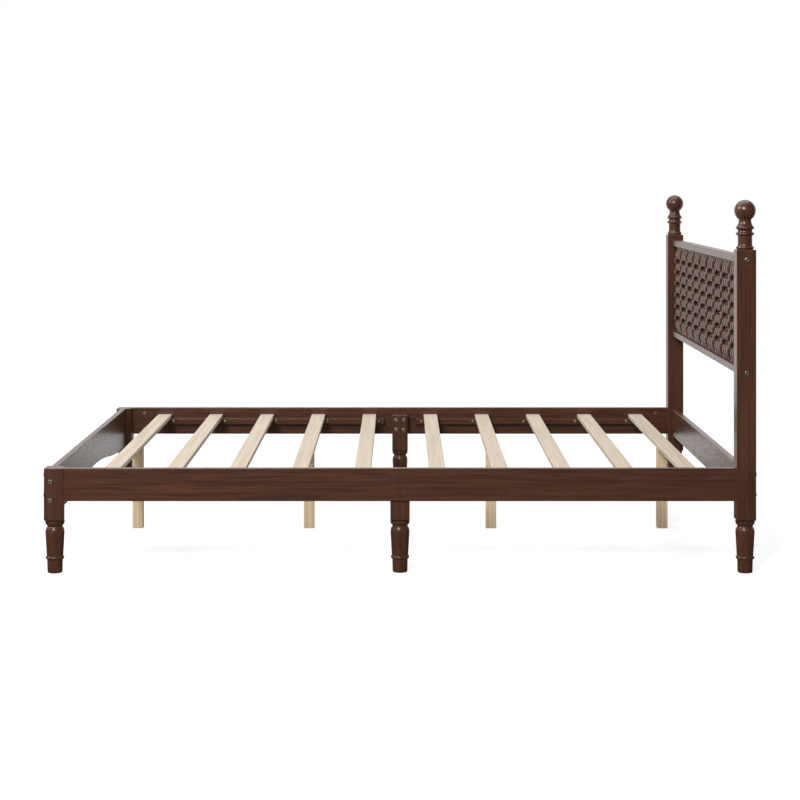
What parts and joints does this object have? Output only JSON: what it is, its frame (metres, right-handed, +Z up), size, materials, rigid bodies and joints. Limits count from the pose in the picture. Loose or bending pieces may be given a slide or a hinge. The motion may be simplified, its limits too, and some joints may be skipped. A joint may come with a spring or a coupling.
{
  "type": "platform bed",
  "caption": "Low platform bed on turned legs with an open slatted base and a woven-strip headboard between tall posts with ball finials.",
  "frame": {"origin": "on the floor, under the middle of the bed's length and width", "axes": "+X towards the headboard, +Y towards the bed's left side as seen by someone lying on it, +Z up"},
  "size_m": [2.122, 1.614, 1.1115],
  "materials": {
    "dark_wood": "semi-gloss lacquer over a dark walnut stain",
    "weave_wood": "semi-gloss lacquer over thin bent strips in the same stain",
    "slat_pine": "planed, unfinished pine",
    "leg_pine": "planed, unfinished pine, warmer than the slats",
    "dowel_wood": "plain beech",
    "plated_steel": "zinc or nickel plate"
  },
  "bodies": {
    "root": {"end_rail_cam_locks": "plated_steel", "end_rail_cam_studs": "plated_steel", "end_rail_dowels": "dowel_wood", "finial_left": "dark_wood", "finial_right": "dark_wood", "finial_studs": "plated_steel", "foot_post_left": "dark_wood", "foot_post_right": "dark_wood", "footboard": "dark_wood", "footboard_barrel_nuts": "plated_steel", "footboard_bolts": "plated_steel", "head_end_rail": "dark_wood", "head_post_left": "dark_wood", "head_post_right": "dark_wood", "headboard_barrel_nuts": "plated_steel", "headboard_bolts": "plated_steel", "headboard_bottom_rail": "dark_wood", "headboard_dowels": "dowel_wood", "headboard_top_rail": "dark_wood", "ledger_screws": "plated_steel", "middle_leg_bolts": "plated_steel", "middle_leg_inserts": "plated_steel", "middle_leg_left": "dark_wood", "middle_leg_right": "dark_wood", "side_rail_barrel_nuts": "plated_steel", "side_rail_bolts": "plated_steel", "side_rail_dowels": "dowel_wood", "side_rail_left_foot": "dark_wood", "side_rail_left_head": "dark_wood", "side_rail_right_foot": "dark_wood", "side_rail_right_head": "dark_wood", "slat_01": "slat_pine", "slat_02": "slat_pine", "slat_03": "slat_pine", "slat_04": "slat_pine", "slat_05": "slat_pine", "slat_06": "slat_pine", "slat_07": "slat_pine", "slat_08": "slat_pine", "slat_09": "slat_pine", "slat_10": "slat_pine", "slat_ledger_left_foot": "dark_wood", "slat_ledger_left_head": "dark_wood", "slat_ledger_right_foot": "dark_wood", "slat_ledger_right_head": "dark_wood", "slat_support_leg_1": "leg_pine", "slat_support_leg_2": "leg_pine", "slat_support_leg_3": "leg_pine", "slat_support_leg_4": "leg_pine", "support_leg_studs": "plated_steel", "weave_bars": "weave_wood", "weave_narrow_strips": "weave_wood", "weave_wide_strips": "weave_wood"}
  },
  "joints": []
}
